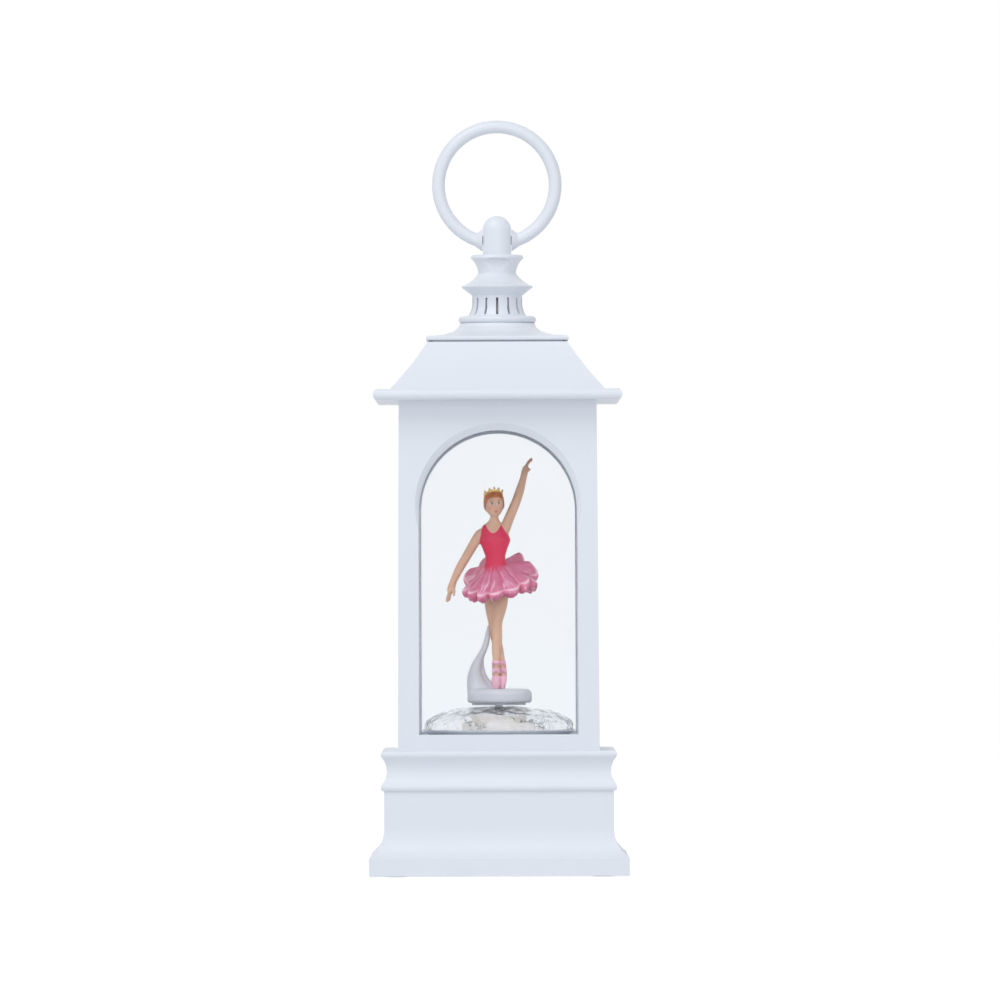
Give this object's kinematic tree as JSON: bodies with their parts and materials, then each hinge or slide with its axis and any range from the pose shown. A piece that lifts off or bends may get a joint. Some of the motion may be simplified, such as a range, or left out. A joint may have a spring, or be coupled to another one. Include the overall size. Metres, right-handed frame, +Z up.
{
  "type": "lantern-shaped musical box",
  "caption": "White square lantern with arched clear windows, a turning dancer on a clear dome, a swinging carrying ring and a battery drive and loudspeaker in the plinth.",
  "frame": {"origin": "middle of the underside of the rubber feet", "axes": "+Z up along the turning axis of the dancer, the front window faces -Y, +X to the viewer's right"},
  "size_m": [0.0956, 0.0956, 0.2798],
  "materials": {
    "white": "satin",
    "clear": "clear polished",
    "ice": "clear, crackled like ice",
    "stage": "satin",
    "stand": "satin cast",
    "skin": "painted cast",
    "leotard": "painted cast",
    "tulle": "pearl painted cast",
    "slipper": "painted cast",
    "hair": "painted cast",
    "gold": "metallic paint",
    "gear": "moulded",
    "housing": "moulded",
    "steel": "plain",
    "brass": "plain",
    "rubber": "matt",
    "dark": "moulded",
    "cell": "plain sleeve",
    "board": "lacquered",
    "cone": "pressed pulp",
    "lamp": "clear lens"
  },
  "bodies": {
    "lantern": {"base_housing": "white", "bottom_cover": "white", "body_frame": "white", "roof_shell": "white", "roof_cap": "white", "vent_collar": "white", "finial": "white", "chamber_floor": "white", "pane_front": "clear", "pane_right": "clear", "pane_back": "clear", "pane_left": "clear", "ice_dome": "ice", "stage_ring": "stage", "gearbox_base": "housing", "gearbox_cover": "housing", "body_screws": "steel", "tie_bolt": "steel", "gearbox_screws": "steel", "idler_axle": "steel", "motor_can": "steel", "motor_screws": "steel", "cover_screws": "steel", "contact_left": "steel", "contact_right": "steel", "speaker_magnet": "steel", "rubber_feet": "rubber", "switch_body": "dark", "speaker_frame": "dark", "board_parts": "dark", "battery_cell_1": "cell", "battery_cell_2": "cell", "battery_cell_3": "cell", "lamp_board_left": "board", "lamp_board_right": "board", "sound_board": "board", "speaker_cone": "cone", "lamps": "lamp"},
    "ring": {"ring_handle": "white"},
    "dancer": {"spindle": "steel", "spindle_gear": "gear", "turntable": "stage", "figure_stand": "stand", "legs": "skin", "shoes": "slipper", "skirt": "tulle", "bodice": "leotard", "chest": "skin", "arm_raised": "skin", "arm_lowered": "skin", "head": "skin", "hair": "hair", "tiara": "gold"},
    "idler": {"idler_gear": "gear"},
    "rotor": {"motor_shaft": "steel", "motor_pinion": "brass"},
    "knob": {"switch_knob": "dark"},
    "door": {"battery_door": "white", "door_screws": "steel"}
  },
  "joints": [
    {"name": "ring_swing", "type": "hinge", "parent": "lantern", "child": "ring", "pos_m": [0, 0, 0.2352], "axis": [1, 0, 0], "range_deg": [-135, 135]},
    {"name": "dancer_turn", "type": "hinge", "parent": "lantern", "child": "dancer", "pos_m": [0, 0, 0.0628], "axis": [0, 0, 1], "continuous": true},
    {"name": "idler_turn", "type": "hinge", "parent": "lantern", "child": "idler", "pos_m": [0, 0.01005, 0.05], "axis": [0, 0, 1], "continuous": true},
    {"name": "motor_turn", "type": "hinge", "parent": "lantern", "child": "rotor", "pos_m": [0.00725, 0.00552, 0.0495], "axis": [0, 0, 1], "continuous": true},
    {"name": "switch_slide", "type": "slide", "parent": "lantern", "child": "knob", "axis": [1, 0, 0], "range_m": [0, 0.004]},
    {"name": "door_lift", "type": "slide", "parent": "lantern", "child": "door", "axis": [0, 0, -1], "range_m": [0, 0.03]}
  ],
  "couplings": [
    {"joint": "idler_turn", "follows": "dancer_turn", "ratio": -3},
    {"joint": "motor_turn", "follows": "dancer_turn", "ratio": 7.2}
  ]
}
